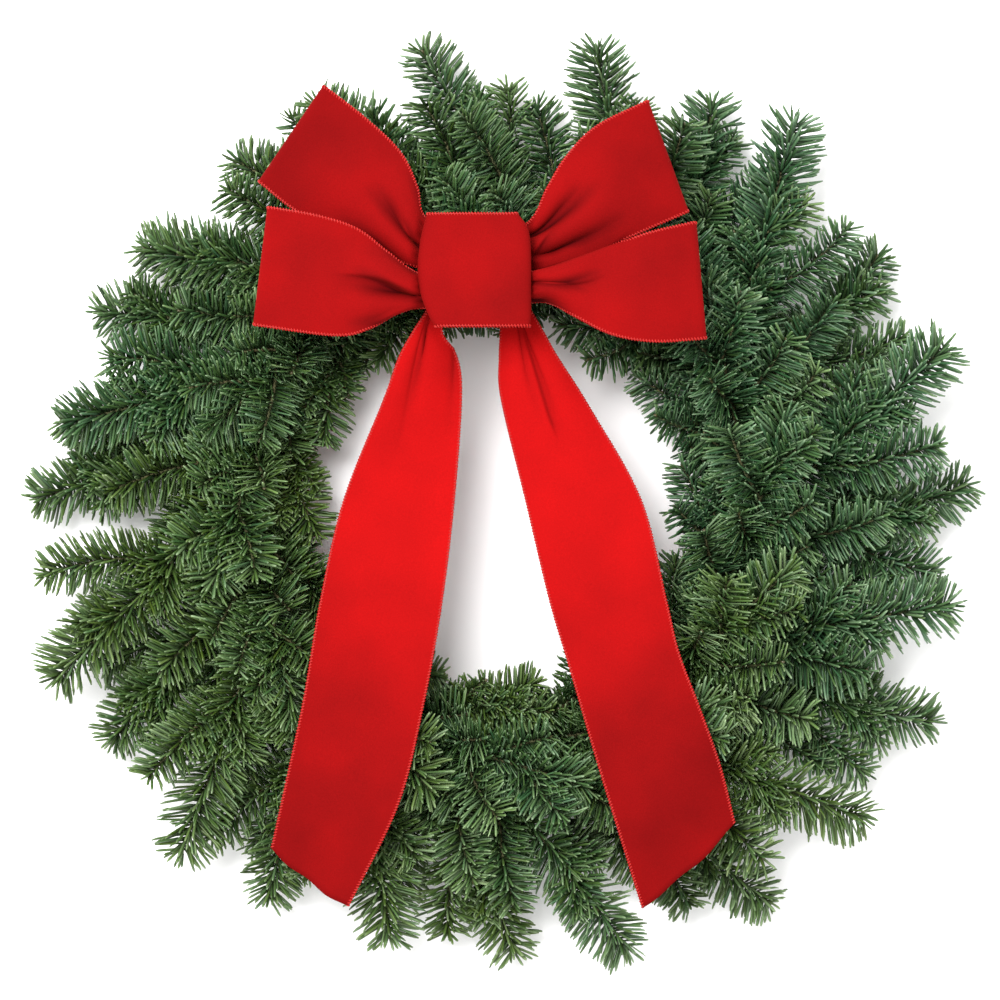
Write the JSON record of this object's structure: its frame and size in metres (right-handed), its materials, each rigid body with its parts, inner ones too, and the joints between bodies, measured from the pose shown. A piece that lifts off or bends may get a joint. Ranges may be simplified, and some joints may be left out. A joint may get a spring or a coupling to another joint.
{
  "type": "fresh evergreen wreath",
  "caption": "Round wreath of fresh noble-fir sprigs clamped in bunches to a wire ring, with a wired red velvet bow tied at its top and two long tails.",
  "frame": {"origin": "on the surface the wreath lies on, below the middle of its bounding box, which is within 2 mm of the middle of its clamp ring", "axes": "+Z out of the wreath's face, away from the surface or wall behind it; +Y towards its top, where the bow is tied; +X to the right seen from the front"},
  "size_m": [0.5054, 0.4914, 0.1156],
  "materials": {
    "fir_needles": "fresh noble-fir needles on brown woody twigs, waxy satin, blue-green above and paler below",
    "ribbon_velvet": "red cotton-backed velvet ribbon with wired, merrowed edges in a glossier red thread",
    "ring_enamel": "dark green enamel on steel wire",
    "tie_wire_steel": "bare galvanised florist's wire"
  },
  "bodies": {
    "root": {"bow_tie_wire": "tie_wire_steel", "clamp_ring": "ring_enamel", "knot_band": "ribbon_velvet", "loop_lower_left": "ribbon_velvet", "loop_lower_right": "ribbon_velvet", "loop_upper_left": "ribbon_velvet", "loop_upper_right": "ribbon_velvet", "sprig_face_01": "fir_needles", "sprig_face_02": "fir_needles", "sprig_face_03": "fir_needles", "sprig_face_04": "fir_needles", "sprig_face_05": "fir_needles", "sprig_face_06": "fir_needles", "sprig_face_07": "fir_needles", "sprig_face_08": "fir_needles", "sprig_face_09": "fir_needles", "sprig_face_10": "fir_needles", "sprig_face_11": "fir_needles", "sprig_face_12": "fir_needles", "sprig_inner_01": "fir_needles", "sprig_inner_02": "fir_needles", "sprig_inner_03": "fir_needles", "sprig_inner_04": "fir_needles", "sprig_inner_05": "fir_needles", "sprig_inner_06": "fir_needles", "sprig_inner_07": "fir_needles", "sprig_inner_08": "fir_needles", "sprig_inner_09": "fir_needles", "sprig_inner_10": "fir_needles", "sprig_inner_11": "fir_needles", "sprig_inner_12": "fir_needles", "sprig_outer_high_01": "fir_needles", "sprig_outer_high_02": "fir_needles", "sprig_outer_high_03": "fir_needles", "sprig_outer_high_04": "fir_needles", "sprig_outer_high_05": "fir_needles", "sprig_outer_high_06": "fir_needles", "sprig_outer_high_07": "fir_needles", "sprig_outer_high_08": "fir_needles", "sprig_outer_high_09": "fir_needles", "sprig_outer_high_10": "fir_needles", "sprig_outer_high_11": "fir_needles", "sprig_outer_high_12": "fir_needles", "sprig_outer_low_01": "fir_needles", "sprig_outer_low_02": "fir_needles", "sprig_outer_low_03": "fir_needles", "sprig_outer_low_04": "fir_needles", "sprig_outer_low_05": "fir_needles", "sprig_outer_low_06": "fir_needles", "sprig_outer_low_07": "fir_needles", "sprig_outer_low_08": "fir_needles", "sprig_outer_low_09": "fir_needles", "sprig_outer_low_10": "fir_needles", "sprig_outer_low_11": "fir_needles", "sprig_outer_low_12": "fir_needles", "tail_left": "ribbon_velvet", "tail_right": "ribbon_velvet"}
  },
  "joints": []
}
